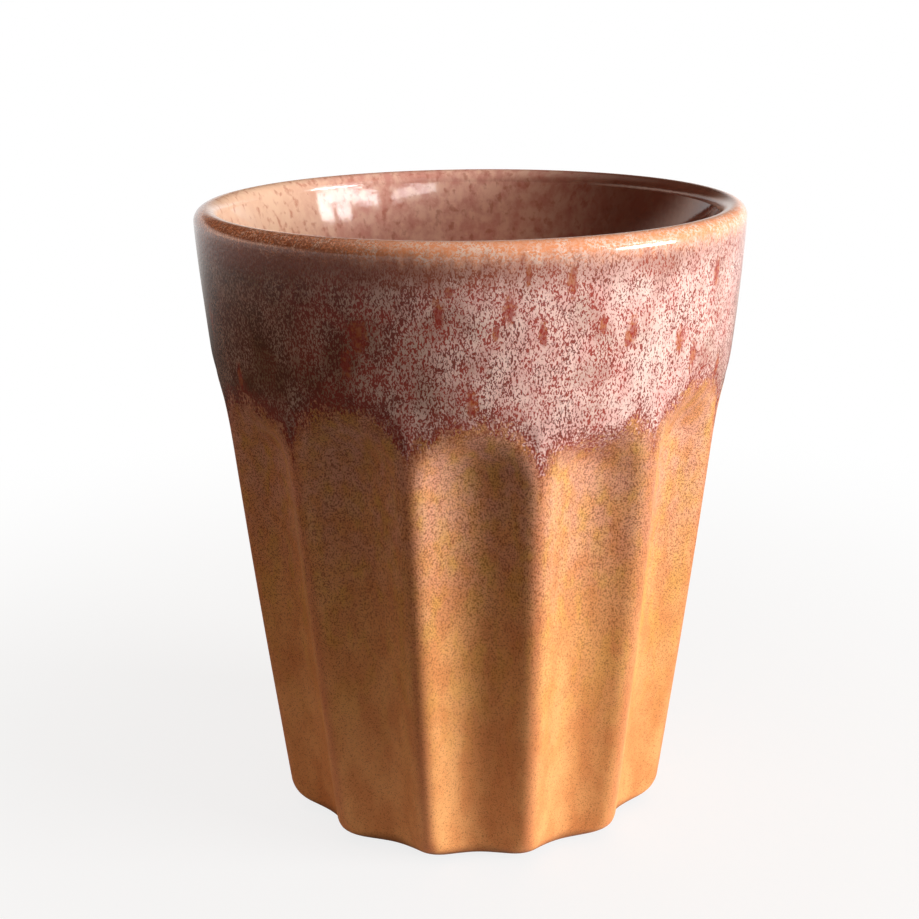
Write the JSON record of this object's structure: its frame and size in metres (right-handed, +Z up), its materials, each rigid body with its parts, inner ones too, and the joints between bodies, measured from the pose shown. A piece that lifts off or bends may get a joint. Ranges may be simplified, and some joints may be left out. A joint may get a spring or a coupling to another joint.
{
  "type": "fluted tumbler",
  "caption": "Handle-less stoneware drinking cup with a fluted, tapered wall, a plain rounded lip and glaze coats in amber and speckled pink.",
  "frame": {"origin": "centre of the foot, on the surface that the cup stands on", "axes": "+Z up along the cup's axis, -Y towards the front, where a flute faces the viewer"},
  "size_m": [0.0814, 0.0814, 0.095],
  "materials": {
    "clay": "bare fired stoneware, matte",
    "amber_glaze": "satin amber glaze with fine brown speckle",
    "band_glaze": "glossy pink reactive glaze with red-brown speckle",
    "liner_glaze": "glossy pink-brown liner glaze"
  },
  "bodies": {
    "root": {"clay_body": "clay", "amber_glaze": "amber_glaze", "band_glaze": "band_glaze", "liner_glaze": "liner_glaze"}
  },
  "joints": []
}
